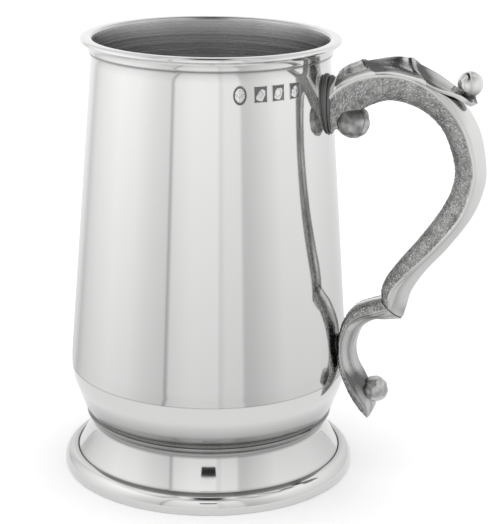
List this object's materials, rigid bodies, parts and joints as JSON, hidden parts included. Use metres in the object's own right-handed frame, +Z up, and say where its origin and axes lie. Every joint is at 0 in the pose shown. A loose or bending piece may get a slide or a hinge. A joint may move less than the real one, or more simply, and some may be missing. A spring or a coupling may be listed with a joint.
{
  "type": "tankard",
  "caption": "Lidless pewter tankard: tapered body with a flared lip and a rounded belly, a spun foot with a round bead, and a cast double-scroll handle with a thumb leaf.",
  "frame": {"origin": "on the mug's axis, in the plane that its foot stands on", "axes": "+Z up along the mug's axis, +X from the axis to the handle, +Y to the left of someone facing the handle's way"},
  "size_m": [0.1364, 0.0952, 0.142],
  "materials": {
    "polished_pewter": "mirror polished",
    "turned_pewter": "turned, satin",
    "cast_pewter": "cast, darkened in the hollows",
    "solder": "dull"
  },
  "bodies": {
    "root": {"body_shell": "polished_pewter", "lip_ring": "polished_pewter", "cup_floor": "turned_pewter", "seat_ring": "solder", "foot_dome": "polished_pewter", "foot_rim": "polished_pewter", "upper_scroll": "cast_pewter", "root_volute": "cast_pewter", "root_solder": "solder", "thumb_leaf": "polished_pewter", "thumb_ball": "polished_pewter", "scroll_seam": "solder", "lower_scroll": "cast_pewter", "lower_ball": "cast_pewter", "lower_solder": "solder"}
  },
  "joints": []
}
